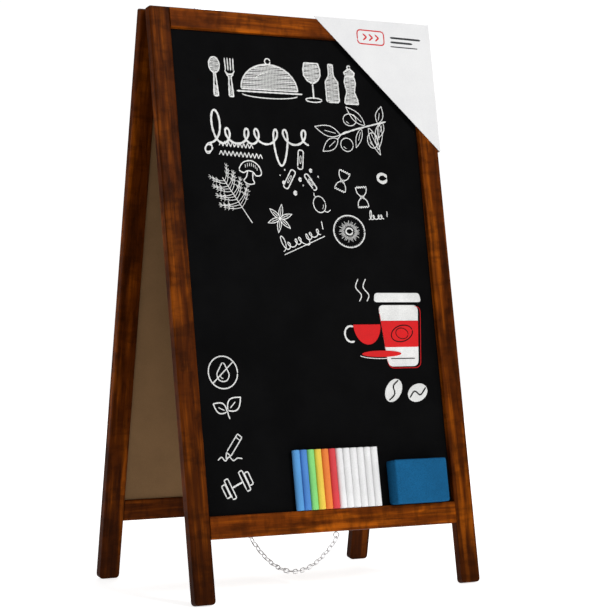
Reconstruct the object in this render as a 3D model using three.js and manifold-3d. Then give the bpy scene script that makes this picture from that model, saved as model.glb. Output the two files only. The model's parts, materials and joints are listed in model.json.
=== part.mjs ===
// A folding sandwich board: two stained wooden frames with chalkboard panels, hinged together
// across their top rails and held apart at the bottom by a slack chain. A card sleeve covers one
// corner, and sticks of chalk and a sponge stand on the front frame's bottom rail.
// Millimetres, +Z up. X runs across the board, the front face looks along -Y.
// The origin is on the ground, midway between the feet.

import * as THREE from 'three';
import { mergeVertices } from 'three/addons/utils/BufferGeometryUtils.js';
import Module from 'manifold-3d';

// Frames
const FRAME_WIDTH = 440;
const STILE_LENGTH = 791;
const LEAN = THREE.MathUtils.degToRad(9.9);
const FRAME_THICKNESS = 14;
const STILE_WIDTH = 30;
const TOP_RAIL_HEIGHT = 28;
const BOTTOM_RAIL_HEIGHT = 29.5;
const LEG_LENGTH = 82.5;
const PIN_TO_INNER_FACE = 4.5;
const EDGE_ROUND = 2;
const TOP_CORNER_ROUND = 3;
const FOOT_CORNER_ROUND = 6;
const CLEARANCE = 0.3;

// Panels
const PANEL_THICKNESS = 3;
const PANEL_RECESS = 7.5;
const GROOVE_DEPTH = 7;

// Rail tenons, which fit mortises in the stiles
const TENON_LENGTH = 14;
const TENON_THICKNESS = 6;
const TENON_OUTER_SHOULDER = 5;
const TENON_PANEL_SHOULDER = 9;

// Hinges
const HINGE_SPACING = 260;
const HINGE_LENGTH = 40;
const LEAF_THICKNESS = 1.5;
const LEAF_MARGIN = 2;
const KNUCKLE_RADIUS = 3;
const KNUCKLES = 3;
const PIN_RADIUS = 1.3;
const PIN_HEAD_RADIUS = 2.4;
const PIN_HEAD_HEIGHT = 1;

// Screws
const SCREW_SPACING = 24;
const SCREW_RADIUS = 1.4;
const SCREW_LENGTH = 13;
const SCREW_HEAD_RADIUS = 3.1;
const SCREW_HEAD_HEIGHT = 1.6;
const SCREW_SLOT_WIDTH = 0.7;
const SCREW_SLOT_LENGTH = 3.8;
const SCREW_SLOT_DEPTH = 0.8;

// Chain and the screw eyes that hold it
const LINK_COUNT = 29;
const LINK_LENGTH = 13.3;
const LINK_WIDTH = 7.2;
const LINK_WIRE = 1.4;
const LONG_LINK_LENGTH = 16.5;
const MIDDLE_LINK_SLACK = 1.2;
const EYE_RADIUS = 4;
const EYE_WIRE = 1.6;
const EYE_SHANK_RADIUS = 1.1;
const EYE_SHANK_LENGTH = 14;

// Card sleeve on the upper right corner of the front frame
const SLEEVE_WIDTH = 190;
const SLEEVE_HEIGHT = 187;
const SLEEVE_CARD = 0.8;
const SLEEVE_PROUD = 3;
const SLEEVE_TOP_GAP = 3;

// Loose chalk and sponge, which stand on the bottom rail and lean on the front panel
const STICK_COUNT = 12;
const STICK_LENGTH = 80;
const STICK_DIAMETER = 11.2;
const STICK_EDGE = 0.6;
const STICK_PITCH = 11;
const STICK_ROW_CENTRE = 6;
const SPONGE_WIDTH = 84;
const SPONGE_HEIGHT = 60;
const SPONGE_THICKNESS = 24;
const SPONGE_CENTRE = 130;
const SPONGE_ROUND = 2.5;

// Worked out from the sizes above
const RAIL_TOP = -(LEAF_THICKNESS / 2 + CLEARANCE);
const OPENING_TOP = RAIL_TOP - TOP_RAIL_HEIGHT;
const STILE_BOTTOM = RAIL_TOP - STILE_LENGTH;
const BOTTOM_RAIL_BOTTOM = STILE_BOTTOM + LEG_LENGTH;
const OPENING_BOTTOM = BOTTOM_RAIL_BOTTOM + BOTTOM_RAIL_HEIGHT;
const OPENING_WIDTH = FRAME_WIDTH - 2 * STILE_WIDTH;
const INNER_FACE = -PIN_TO_INNER_FACE;
const OUTER_FACE = INNER_FACE - FRAME_THICKNESS;
const MID_FACE = (INNER_FACE + OUTER_FACE) / 2;
const PANEL_MIDDLE = OUTER_FACE + PANEL_RECESS + PANEL_THICKNESS / 2;
const LEAF_OVERLAP = FRAME_THICKNESS - LEAF_MARGIN;
const FOOT_EDGE_LIFT = EDGE_ROUND * (Math.cos(LEAN) + Math.sin(LEAN) - 1);
const PIN_HEIGHT = -STILE_BOTTOM * Math.cos(LEAN) - PIN_TO_INNER_FACE * Math.sin(LEAN) - FOOT_EDGE_LIFT;
const EYE_PIVOT_DROP = CLEARANCE + EYE_WIRE / 2 + 2 * EYE_RADIUS;
const MIDDLE_LINK = (LINK_COUNT - 1) / 2;
const LEDGE = OPENING_BOTTOM + CLEARANCE;
const PANEL_OUTER = PANEL_MIDDLE - PANEL_THICKNESS / 2 - CLEARANCE;

const wasm = await Module();
wasm.setup();

const stainedWood = new THREE.MeshStandardMaterial({ color: 0x54270c, roughness: 0.45 });
const chalkboard = new THREE.MeshStandardMaterial({ color: 0x101010, roughness: 0.8 });
const zinc = new THREE.MeshStandardMaterial({ color: 0xb9bcc0, roughness: 0.35, metalness: 1 });
const card = new THREE.MeshStandardMaterial({ color: 0xe9e9e9, roughness: 0.7 });
const chalk = new THREE.MeshStandardMaterial({ color: 0xf0f0ee, roughness: 0.9 });
const foam = new THREE.MeshStandardMaterial({ color: 0x14598a, roughness: 0.95 });

function toSolid(geometry) {
  const plain = geometry.index ? geometry.clone() : geometry;
  plain.deleteAttribute('normal');
  plain.deleteAttribute('uv');
  const merged = mergeVertices(plain, 1e-4);
  return new wasm.Manifold(new wasm.Mesh({
    numProp: 3,
    vertProperties: Float32Array.from(merged.attributes.position.array),
    triVerts: Uint32Array.from(merged.index.array),
  }));
}

function toGeometry(solid) {
  const mesh = solid.getMesh();
  const geometry = new THREE.BufferGeometry();
  geometry.setAttribute('position', new THREE.BufferAttribute(mesh.vertProperties, 3));
  geometry.setIndex(new THREE.BufferAttribute(mesh.triVerts, 1));
  geometry.computeVertexNormals();
  return geometry;
}

function join(...geometries) {
  return toGeometry(geometries.map(toSolid).reduce((whole, solid) => whole.add(solid)));
}

function cut(geometry, ...cutters) {
  return toGeometry(cutters.map(toSolid).reduce((rest, cutter) => rest.subtract(cutter), toSolid(geometry)));
}

function piece(name, geometry, material) {
  const mesh = new THREE.Mesh(geometry, material);
  mesh.name = name;
  return mesh;
}

// A box between two opposite corners.
function span(x0, x1, y0, y1, z0, z1) {
  const box = new THREE.BoxGeometry(Math.abs(x1 - x0), Math.abs(y1 - y0), Math.abs(z1 - z0));
  return box.translate((x0 + x1) / 2, (y0 + y1) / 2, (z0 + z1) / 2);
}

// A closed outline; each corner is [x, y, radius], and a radius of 0 is a sharp one.
function roundedOutline(corners) {
  const outline = new THREE.Shape();
  corners.forEach(([x, y, radius], i) => {
    const [px, py] = corners.at(i - 1);
    const [nx, ny] = corners[(i + 1) % corners.length];
    const corner = new THREE.Vector2(x, y);
    const start = corner.clone().add(new THREE.Vector2(px - x, py - y).setLength(radius));
    const end = corner.clone().add(new THREE.Vector2(nx - x, ny - y).setLength(radius));
    if (i === 0) outline.moveTo(start.x, start.y);
    else outline.lineTo(start.x, start.y);
    if (radius > 0) outline.quadraticCurveTo(x, y, end.x, end.y);
  });
  outline.closePath();
  return outline;
}

// Frames are made upright, in a space whose origin is the hinge pin: the outer face looks along -Y.

// side is -1 for the stile at negative X, +1 for the one at positive X.
function stileGeometry(side) {
  const innerX = side * OPENING_WIDTH / 2;
  const outerX = side * FRAME_WIDTH / 2;
  const outline = roundedOutline([
    [innerX, STILE_BOTTOM, FOOT_CORNER_ROUND],
    [outerX, STILE_BOTTOM, FOOT_CORNER_ROUND],
    [outerX, RAIL_TOP, TOP_CORNER_ROUND],
    [innerX, RAIL_TOP, 0],
  ]);
  const stile = new THREE.ExtrudeGeometry(outline, {
    depth: FRAME_THICKNESS - 2 * EDGE_ROUND,
    bevelThickness: EDGE_ROUND,
    bevelSize: EDGE_ROUND,
    bevelOffset: -EDGE_ROUND,
    bevelSegments: 3,
    curveSegments: 5,
  });
  stile.rotateX(Math.PI / 2);
  stile.translate(0, INNER_FACE - EDGE_ROUND, 0);
  const grooveHalf = PANEL_THICKNESS / 2 + CLEARANCE;
  const groove = span(
    innerX - side, innerX + side * GROOVE_DEPTH, PANEL_MIDDLE - grooveHalf, PANEL_MIDDLE + grooveHalf,
    OPENING_BOTTOM - GROOVE_DEPTH, OPENING_TOP + GROOVE_DEPTH,
  );
  const mortises = [topTenonSpan(), bottomTenonSpan()].map(([low, high]) => span(
    innerX - side, innerX + side * (TENON_LENGTH + CLEARANCE),
    MID_FACE - TENON_THICKNESS / 2 - CLEARANCE, MID_FACE + TENON_THICKNESS / 2 + CLEARANCE,
    low - CLEARANCE, high + CLEARANCE,
  ));
  return cut(stile, groove, ...mortises);
}

function topTenonSpan() {
  return [OPENING_TOP + TENON_PANEL_SHOULDER, RAIL_TOP - TENON_OUTER_SHOULDER];
}

function bottomTenonSpan() {
  return [BOTTOM_RAIL_BOTTOM + TENON_OUTER_SHOULDER, OPENING_BOTTOM - TENON_PANEL_SHOULDER];
}

// The rail's own body with its two tenons, before any hole or groove is cut.
function railBody(low, high, [tenonLow, tenonHigh]) {
  const halfLength = OPENING_WIDTH / 2 - CLEARANCE;
  const section = roundedOutline([
    [OUTER_FACE, low, EDGE_ROUND],
    [INNER_FACE, low, EDGE_ROUND],
    [INNER_FACE, high, EDGE_ROUND],
    [OUTER_FACE, high, EDGE_ROUND],
  ]);
  const body = new THREE.ExtrudeGeometry(section, {
    depth: 2 * halfLength, bevelEnabled: false, curveSegments: 4,
  });
  body.applyMatrix4(new THREE.Matrix4().set(0, 0, 1, -halfLength, 1, 0, 0, 0, 0, 1, 0, 0, 0, 0, 0, 1));
  const reach = halfLength + CLEARANCE + TENON_LENGTH;
  const tenons = span(
    -reach, reach, MID_FACE - TENON_THICKNESS / 2, MID_FACE + TENON_THICKNESS / 2, tenonLow, tenonHigh,
  );
  return join(body, tenons);
}

function railGroove(low, high) {
  const half = PANEL_THICKNESS / 2 + CLEARANCE;
  return span(-FRAME_WIDTH / 2, FRAME_WIDTH / 2, PANEL_MIDDLE - half, PANEL_MIDDLE + half, low, high);
}

function upright(radius, x, y, low, high, sides = 12) {
  const cylinder = new THREE.CylinderGeometry(radius, radius, high - low, sides);
  return cylinder.rotateX(Math.PI / 2).translate(x, y, (low + high) / 2);
}

function topRailGeometry() {
  const body = railBody(OPENING_TOP, RAIL_TOP, topTenonSpan());
  const holeRadius = SCREW_RADIUS + CLEARANCE;
  const holes = screwPlaces().map((x) => (
    upright(holeRadius, x, leafScrewY(), RAIL_TOP - SCREW_LENGTH - CLEARANCE, RAIL_TOP + 1)
  ));
  return cut(body, railGroove(OPENING_TOP - 1, OPENING_TOP + GROOVE_DEPTH), ...holes);
}

function bottomRailGeometry() {
  const body = railBody(BOTTOM_RAIL_BOTTOM, OPENING_BOTTOM, bottomTenonSpan());
  const eyeHole = upright(
    EYE_SHANK_RADIUS + CLEARANCE, 0, MID_FACE,
    BOTTOM_RAIL_BOTTOM - 1, BOTTOM_RAIL_BOTTOM + EYE_SHANK_LENGTH + CLEARANCE,
  );
  return cut(body, railGroove(OPENING_BOTTOM - GROOVE_DEPTH, OPENING_BOTTOM + 1), eyeHole);
}

function panelGeometry() {
  const inset = GROOVE_DEPTH - CLEARANCE;
  const half = PANEL_THICKNESS / 2;
  return span(
    -OPENING_WIDTH / 2 - inset, OPENING_WIDTH / 2 + inset, PANEL_MIDDLE - half, PANEL_MIDDLE + half,
    OPENING_BOTTOM - inset, OPENING_TOP + inset,
  );
}

// Hinge leaves and screws, in the same space as the frame that they are screwed to.

function hingeCentres() {
  return [-HINGE_SPACING / 2, HINGE_SPACING / 2];
}

function screwPlaces() {
  return hingeCentres().flatMap((x) => [x - SCREW_SPACING / 2, x + SCREW_SPACING / 2]);
}

function leafScrewY() {
  return INNER_FACE - LEAF_OVERLAP / 2;
}

function along(radius, x0, x1, sides = 20) {
  const cylinder = new THREE.CylinderGeometry(radius, radius, x1 - x0, sides);
  return cylinder.rotateZ(Math.PI / 2).translate((x0 + x1) / 2, 0, 0);
}

// ownKnuckles is 0 for the leaf with the first, third and every other knuckle, 1 for its mate.
function leafGeometry(centre, ownKnuckles) {
  const x0 = centre - HINGE_LENGTH / 2;
  const x1 = centre + HINGE_LENGTH / 2;
  const plate = span(x0, x1, INNER_FACE - LEAF_OVERLAP, 0, -LEAF_THICKNESS / 2, LEAF_THICKNESS / 2);
  const barrel = along(KNUCKLE_RADIUS, x0, x1);
  const bore = along(PIN_RADIUS + CLEARANCE, x0 - 1, x1 + 1, 16);
  const pitch = HINGE_LENGTH / KNUCKLES;
  const notches = [];
  for (let i = 0; i < KNUCKLES; i += 1) {
    if (i % 2 === ownKnuckles) continue;
    const low = i === 0 ? x0 - 1 : x0 + i * pitch - CLEARANCE / 2;
    const high = i === KNUCKLES - 1 ? x1 + 1 : x0 + (i + 1) * pitch + CLEARANCE / 2;
    const reach = KNUCKLE_RADIUS + CLEARANCE;
    notches.push(span(low, high, -reach, reach, -reach, reach));
  }
  const holes = [centre - SCREW_SPACING / 2, centre + SCREW_SPACING / 2].map((x) => (
    upright(SCREW_RADIUS + CLEARANCE, x, leafScrewY(), -LEAF_THICKNESS, LEAF_THICKNESS)
  ));
  return cut(join(plate, barrel), bore, ...notches, ...holes);
}

// A round piece from its profile of [radius, height] points, which starts and ends on the axis.
function turned(profile, sides) {
  const points = profile.map(([radius, height]) => new THREE.Vector2(radius, height));
  return new THREE.LatheGeometry(points, sides).rotateX(Math.PI / 2);
}

function hingePinGeometry(centre) {
  const inner = HINGE_LENGTH / 2 + CLEARANCE;
  const outer = inner + PIN_HEAD_HEIGHT;
  const pin = turned([
    [0, -outer], [PIN_HEAD_RADIUS, -outer], [PIN_HEAD_RADIUS, -inner], [PIN_RADIUS, -inner],
    [PIN_RADIUS, inner], [PIN_HEAD_RADIUS, inner], [PIN_HEAD_RADIUS, outer], [0, outer],
  ], 16);
  return pin.rotateY(Math.PI / 2).translate(centre, 0, 0);
}

// A round-headed wood screw with a cross slot; its head sits on the leaf.
function screwGeometry(x) {
  const seat = LEAF_THICKNESS / 2 + CLEARANCE;
  const crown = seat + SCREW_HEAD_HEIGHT;
  const tip = RAIL_TOP - SCREW_LENGTH;
  const shoulder = SCREW_HEAD_RADIUS - SCREW_HEAD_HEIGHT / 8;
  const crownRadius = SCREW_HEAD_RADIUS - SCREW_HEAD_HEIGHT * 3 / 4;
  const body = turned([
    [0, tip], [SCREW_RADIUS, tip + 2 * SCREW_RADIUS], [SCREW_RADIUS, seat], [SCREW_HEAD_RADIUS, seat],
    [shoulder, seat + SCREW_HEAD_HEIGHT / 2], [crownRadius, crown], [0, crown],
  ], 14);
  const long = SCREW_SLOT_LENGTH / 2;
  const half = SCREW_SLOT_WIDTH / 2;
  const floor = crown - SCREW_SLOT_DEPTH;
  const slots = [
    span(-long, long, -half, half, floor, crown + 1),
    span(-half, half, -long, long, floor, crown + 1),
  ];
  return cut(body, ...slots).translate(x, leafScrewY(), 0);
}

function eyeGeometry() {
  const centre = BOTTOM_RAIL_BOTTOM - CLEARANCE - EYE_WIRE / 2 - EYE_RADIUS;
  const ring = new THREE.TorusGeometry(EYE_RADIUS, EYE_WIRE / 2, 8, 20);
  ring.rotateX(Math.PI / 2).translate(0, MID_FACE, centre);
  const shank = upright(
    EYE_SHANK_RADIUS, 0, MID_FACE, centre + EYE_RADIUS, BOTTOM_RAIL_BOTTOM + EYE_SHANK_LENGTH, 10,
  );
  return join(ring, shank);
}

// The sleeve is a folded card pocket: a triangle on the front, one behind, and a wall down the side.
function sleeveGeometry() {
  const right = FRAME_WIDTH / 2 + SLEEVE_PROUD;
  const frontTop = RAIL_TOP + SLEEVE_PROUD;
  const frontY = OUTER_FACE - CLEARANCE;
  const backY = INNER_FACE + CLEARANCE;
  const backTop = RAIL_TOP - SLEEVE_TOP_GAP;
  const slope = SLEEVE_HEIGHT / SLEEVE_WIDTH;
  const triangle = (top, y) => {
    const drop = frontTop - top;
    const outline = new THREE.Shape([
      new THREE.Vector2(right, top),
      new THREE.Vector2(right - SLEEVE_WIDTH + drop / slope, top),
      new THREE.Vector2(right, frontTop - SLEEVE_HEIGHT),
    ]);
    const sheet = new THREE.ExtrudeGeometry(outline, { depth: SLEEVE_CARD, bevelEnabled: false });
    return sheet.rotateX(Math.PI / 2).translate(0, y, 0);
  };
  const bottom = frontTop - SLEEVE_HEIGHT + slope * SLEEVE_CARD;
  const wall = span(
    right - SLEEVE_CARD, right, frontY - SLEEVE_CARD / 2, backY + SLEEVE_CARD / 2, bottom, backTop,
  );
  return join(triangle(frontTop, frontY), triangle(backTop, backY + SLEEVE_CARD), wall);
}

// The row of chalk: sticks side by side, each joined to the next where they touch.
function chalkRowGeometry() {
  const radius = STICK_DIAMETER / 2;
  const profile = [
    [0, 0], [radius - STICK_EDGE, 0], [radius, STICK_EDGE],
    [radius, STICK_LENGTH - STICK_EDGE], [radius - STICK_EDGE, STICK_LENGTH], [0, STICK_LENGTH],
  ];
  const first = STICK_ROW_CENTRE - (STICK_COUNT - 1) / 2 * STICK_PITCH;
  const sticks = Array.from({ length: STICK_COUNT }, (_, i) => (
    turned(profile, 20).translate(first + i * STICK_PITCH, PANEL_OUTER - radius, LEDGE)
  ));
  return join(...sticks);
}

function spongeGeometry() {
  const half = SPONGE_WIDTH / 2 - SPONGE_ROUND;
  const outline = roundedOutline([
    [-half, 0, SPONGE_ROUND], [half, 0, SPONGE_ROUND],
    [half, SPONGE_HEIGHT - 2 * SPONGE_ROUND, SPONGE_ROUND],
    [-half, SPONGE_HEIGHT - 2 * SPONGE_ROUND, SPONGE_ROUND],
  ]);
  const sponge = new THREE.ExtrudeGeometry(outline, {
    depth: SPONGE_THICKNESS - 2 * SPONGE_ROUND,
    bevelThickness: SPONGE_ROUND,
    bevelSize: SPONGE_ROUND,
    bevelSegments: 3,
    curveSegments: 4,
  });
  sponge.rotateX(Math.PI / 2);
  return sponge.translate(SPONGE_CENTRE, PANEL_OUTER - SPONGE_ROUND, LEDGE + SPONGE_ROUND);
}

// One frame with everything fixed to it. Its own left and right are those of a viewer at the front.
function frame(prefix, facing, ownKnuckles) {
  const group = new THREE.Group();
  for (const side of [-1, 1]) {
    const hand = side * facing < 0 ? 'left' : 'right';
    group.add(piece(`${prefix}_${hand}_stile`, stileGeometry(side), stainedWood));
  }
  group.add(piece(`${prefix}_top_rail`, topRailGeometry(), stainedWood));
  group.add(piece(`${prefix}_bottom_rail`, bottomRailGeometry(), stainedWood));
  group.add(piece(`${prefix}_chalkboard_panel`, panelGeometry(), chalkboard));
  for (const side of [-1, 1]) {
    const hand = side * facing < 0 ? 'left' : 'right';
    const centre = side * HINGE_SPACING / 2;
    group.add(piece(`${hand}_hinge_${prefix}_leaf`, leafGeometry(centre, ownKnuckles), zinc));
    for (const end of [-1, 1]) {
      const place = end * facing < 0 ? 1 : 2;
      const x = centre + end * SCREW_SPACING / 2;
      group.add(piece(`${hand}_hinge_${prefix}_screw_${place}`, screwGeometry(x), zinc));
    }
  }
  group.add(piece(`${prefix}_chain_eye`, eyeGeometry(), zinc));
  return group;
}

// Where the chain's first link turns in the front eye: y and height above the ground.
function eyePivot() {
  const out = -MID_FACE;
  const down = BOTTOM_RAIL_BOTTOM - EYE_PIVOT_DROP;
  return {
    y: -(out * Math.cos(LEAN) - down * Math.sin(LEAN)),
    z: PIN_HEIGHT + out * Math.sin(LEAN) + down * Math.cos(LEAN),
  };
}

// The middle link joins the two halves; it and its two neighbours are longer than the rest.
function linkLength(i) {
  return Math.abs(i - MIDDLE_LINK) <= 1 ? LONG_LINK_LENGTH : LINK_LENGTH;
}

// The distance between the two points that link i turns about. Every second link stands in the
// plane of the chain's curve and hangs on its neighbours' end wires, so it turns about points
// inside its own ends; the links between them lie across and turn about their own end wires.
// The middle link hangs slack at one end.
function linkSpan(i) {
  if (i % 2 === 1) return linkLength(i) - LINK_WIRE;
  const inside = linkLength(i) - 3 * LINK_WIRE - 2 * CLEARANCE;
  if (i === MIDDLE_LINK) return inside - MIDDLE_LINK_SLACK;
  const inEye = (EYE_WIRE - LINK_WIRE) / 2;
  return i === 0 || i === LINK_COUNT - 1 ? inside - inEye : inside;
}

// The points that the links turn about: chords of a catenary with parameter a, walked from the
// front eye. Returns how far the last one lands from the rear eye, and the points.
function hangFrom(a) {
  const start = eyePivot();
  const height = (y) => a * Math.cosh(y / a);
  const points = [start];
  for (let i = 0; i < LINK_COUNT; i += 1) {
    const last = points.at(-1);
    const lastHeight = height(last.y);
    let low = last.y;
    let high = last.y + linkSpan(i);
    for (let step = 0; step < 60; step += 1) {
      const y = (low + high) / 2;
      if (Math.hypot(y - last.y, height(y) - lastHeight) < linkSpan(i)) low = y;
      else high = y;
    }
    points.push({ y: low, z: start.z + height(low) - height(start.y) });
  }
  return { miss: points.at(-1).y + start.y, points };
}

function chainPoints() {
  let slack = 40;
  let tight = 4000;
  for (let step = 0; step < 80; step += 1) {
    const a = Math.sqrt(slack * tight);
    if (hangFrom(a).miss < 0) slack = a;
    else tight = a;
  }
  return hangFrom(tight).points;
}

// A link: a ring pulled out along Y into two round ends and two straight sides.
function linkGeometry(length) {
  const turns = 12;
  const halfTurn = Math.PI / turns;
  const radius = (LINK_WIDTH - LINK_WIRE) / 2 / Math.cos(halfTurn);
  const ring = new THREE.TorusGeometry(radius, LINK_WIRE / 2, 6, turns);
  ring.rotateZ(halfTurn);
  const stretch = (length - LINK_WIRE) / 2 - radius * Math.sin(Math.PI / 2 - halfTurn);
  const position = ring.attributes.position;
  for (let i = 0; i < position.count; i += 1) {
    const y = position.getY(i);
    position.setY(i, y + Math.sign(y) * stretch);
  }
  return ring;
}

function chain() {
  const group = new THREE.Group();
  const points = chainPoints();
  for (let i = 0; i < LINK_COUNT; i += 1) {
    const from = points[i];
    const to = points[i + 1];
    const link = piece(`chain_link_${String(i + 1).padStart(2, '0')}`, linkGeometry(linkLength(i)), zinc);
    const roll = i % 2 === 0 ? Math.PI / 2 : 0;
    link.position.set(0, (from.y + to.y) / 2, (from.z + to.z) / 2);
    link.rotation.set(Math.atan2(to.z - from.z, to.y - from.y), roll, 0);
    if (i === MIDDLE_LINK) link.translateY(MIDDLE_LINK_SLACK / 2);
    group.add(link);
  }
  return group;
}

// Leans an upright frame about the hinge pin, and turns the rear one to face the other way.
function stand(upright, turn) {
  upright.rotation.x = -LEAN;
  const stance = new THREE.Group();
  stance.rotation.z = turn;
  stance.position.z = PIN_HEIGHT;
  stance.add(upright);
  return stance;
}

const front = frame('front', 1, 0);
for (const side of [-1, 1]) {
  const hand = side < 0 ? 'left' : 'right';
  front.add(piece(`${hand}_hinge_pin`, hingePinGeometry(side * HINGE_SPACING / 2), zinc));
}
front.add(piece('corner_sleeve', sleeveGeometry(), card));
front.add(piece('chalk_row', chalkRowGeometry(), chalk));
front.add(piece('board_sponge', spongeGeometry(), foam));

const sandwichBoard = new THREE.Group();
sandwichBoard.add(stand(front, 0));
sandwichBoard.add(stand(frame('rear', -1, 1), Math.PI));
sandwichBoard.add(chain());

export default sandwichBoard;
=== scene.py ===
"""Looks of a folding sandwich board: stained wooden frames, chalk-painted panels with drawings,
a card sleeve on one corner, zinc-plated hinges and a slack chain between the feet.

Lengths inside this file are millimetres unless they end in _m; finished meshes are in metres.
Drawings are placed on the front panel by x, across it, and u, down from the top of the stiles.
"""

import json
import math

import bmesh
import bpy
import numpy as np
from bpy.props import FloatProperty, FloatVectorProperty, IntProperty, PointerProperty
from bpy.types import Operator, Panel, PropertyGroup
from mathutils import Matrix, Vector


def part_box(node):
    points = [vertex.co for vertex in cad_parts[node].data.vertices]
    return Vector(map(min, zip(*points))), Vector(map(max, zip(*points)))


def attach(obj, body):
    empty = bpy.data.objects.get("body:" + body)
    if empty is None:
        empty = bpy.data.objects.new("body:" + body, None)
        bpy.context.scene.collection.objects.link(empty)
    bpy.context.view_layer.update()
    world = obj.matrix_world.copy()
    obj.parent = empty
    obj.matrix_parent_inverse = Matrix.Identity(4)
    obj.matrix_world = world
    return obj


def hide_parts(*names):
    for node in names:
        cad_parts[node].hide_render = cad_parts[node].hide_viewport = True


bl_info = {
    "name": "Sandwich board looks",
    "version": (1, 0, 0),
    "blender": (4, 5, 0),
    "location": "3D View > Sidebar > Sandwich board",
    "description": "Stains, paints, draws on and lights a folding sandwich board",
    "category": "Object",
}

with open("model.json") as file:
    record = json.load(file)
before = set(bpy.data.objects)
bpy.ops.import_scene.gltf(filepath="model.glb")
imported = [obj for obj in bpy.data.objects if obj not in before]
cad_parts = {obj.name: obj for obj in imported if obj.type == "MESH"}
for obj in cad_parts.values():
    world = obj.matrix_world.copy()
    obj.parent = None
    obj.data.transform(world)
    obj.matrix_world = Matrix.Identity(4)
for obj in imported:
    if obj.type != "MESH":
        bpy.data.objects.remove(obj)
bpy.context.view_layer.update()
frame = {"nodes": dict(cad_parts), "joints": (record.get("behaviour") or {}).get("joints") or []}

# Sizes of the board in its front frame's own upright space: outward from the hinge pin and up
# from it, save for the ledge of the bottom rail, which is measured down.
LEAN = math.radians(9.9)
PIN_HEIGHT = 1000 * next(j for j in frame["joints"] if j["name"] == "fold")["pos_m"][2]
STILE_TOP = -1.05
PANEL_FACE = 11.0
PANEL_MIDDLE = 9.5
CARD_FACE = 19.6
LEDGE = 679.75
STICK_MIDDLE = 16.9
STICK_LENGTH = 80.0
SPONGE_BACK = 11.3
SPONGE_TALL = 60.0
SPONGE_THICK = 24.0
LINK_WIRE = 1.4
CHAIN_RUNS = {
    "front_chain_top": range(1, 5),
    "front_chain_middle": range(5, 10),
    "front_chain_end": range(10, 16),
    "rear_chain_end": range(16, 21),
    "rear_chain_middle": range(21, 26),
    "rear_chain_top": range(26, 30),
}
# A grid point nearer to another than this is the same point, as at seams and poles, in metres.
MERGE_DISTANCE_M = 2e-6
# The stage, in metres and watts: name, place, width and power of each lamp.
LAMPS = (
    ("key", (0.9, -3.6, 2.4), 1.3, 78),
    ("fill", (-3.2, 0.6, 1.2), 1.6, 9),
    ("back", (1.6, 2.8, 2.4), 2.0, 40),
)
LAMP_AIM = (0, 0, 0.4)
CAMERA_PLACE = (-1.350, -2.380, 0.394)
SENSOR_WIDTH = 36
FLOOR_REACH = 30.0
FLOOR_GLOW = 0.75
SKY_STRENGTH = 0.3
SKY_SEEN_STRENGTH = 1.05


def linear(red, green, blue):
    """Scene-linear colour of a display colour whose parts run from 0 to 255."""
    parts = np.array([red, green, blue]) / 255
    curve = np.where(parts <= 0.04045, parts / 12.92, ((parts + 0.055) / 1.055) ** 2.4)
    return tuple(float(part) for part in curve)


STICK_COLOURS = [
    ("blue", linear(92, 158, 218)),
    ("deep blue", linear(84, 140, 210)),
    ("green", linear(140, 222, 128)),
    ("yellow", linear(240, 208, 84)),
    ("orange", linear(240, 134, 66)),
    ("red", linear(220, 74, 80)),
]
WHITE_STICK = ("white", linear(240, 240, 240))
# How much of each tone's light a length of wood gives back: partly uneven stain, as no two
# lengths took the stain alike, and partly painted light and shade, darker on lengths that stand
# in shade, as the rear frame does, and brighter on those that the light falls on.
STAIN_AND_SHADE_DEPTH = {
    "front_left_stile": 0.6, "front_right_stile": 0.76, "front_top_rail": 1.2,
    "front_bottom_rail": 1.4, "rear": 0.66,
}


# ---------------------------------------------------------------- sizes and colours a user sets


class WoodSettings(PropertyGroup):
    light: FloatVectorProperty(
        name="Light streak", description="Colour of the palest grain streaks", subtype="COLOR",
        default=linear(168, 84, 10), min=0, max=1,
    )
    middle: FloatVectorProperty(
        name="Stain", description="Colour of most of the wood", subtype="COLOR",
        default=linear(96, 42, 4), min=0, max=1,
    )
    dark: FloatVectorProperty(
        name="Dark grain", description="Colour of the darkest grain", subtype="COLOR",
        default=linear(38, 13, 1), min=0, max=1,
    )
    streak_length: FloatProperty(
        name="Streak length", description="Length of a grain streak along the wood",
        default=0.24, min=0.02, max=1, unit="LENGTH",
    )
    streak_width: FloatProperty(
        name="Streak width", description="Width of a grain streak across the wood",
        default=0.011, min=0.002, max=0.1, unit="LENGTH",
    )


class PanelSettings(PropertyGroup):
    paint: FloatVectorProperty(
        name="Chalk paint", description="Colour of the outer face", subtype="COLOR",
        default=linear(7, 7, 7.5), min=0, max=1,
    )
    hardboard: FloatVectorProperty(
        name="Hardboard", description="Colour of the bare inner face", subtype="COLOR",
        default=linear(128, 100, 70), min=0, max=1,
    )


class ChalkSettings(PropertyGroup):
    colour: FloatVectorProperty(
        name="Chalk", description="Colour of the drawn lines", subtype="COLOR",
        default=linear(236, 236, 234), min=0, max=1,
    )
    accent: FloatVectorProperty(
        name="Accent", description="Colour of the red cup and saucer", subtype="COLOR",
        default=linear(214, 16, 20), min=0, max=1,
    )
    thickness: FloatProperty(
        name="Line height", description="How far a chalk line stands off the board",
        default=0.00025, min=0.00005, max=0.002, unit="LENGTH",
    )


class StickSettings(PropertyGroup):
    count: IntProperty(
        name="Sticks", description="How many sticks of chalk stand in the row",
        default=12, min=6, max=24,
    )
    foam: FloatVectorProperty(
        name="Sponge", description="Colour of the sponge", subtype="COLOR",
        default=linear(20, 92, 138), min=0, max=1,
    )
    pore_size: FloatProperty(
        name="Pore size", description="Distance between pores of the sponge",
        default=0.0014, min=0.0003, max=0.01, unit="LENGTH",
    )


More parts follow.
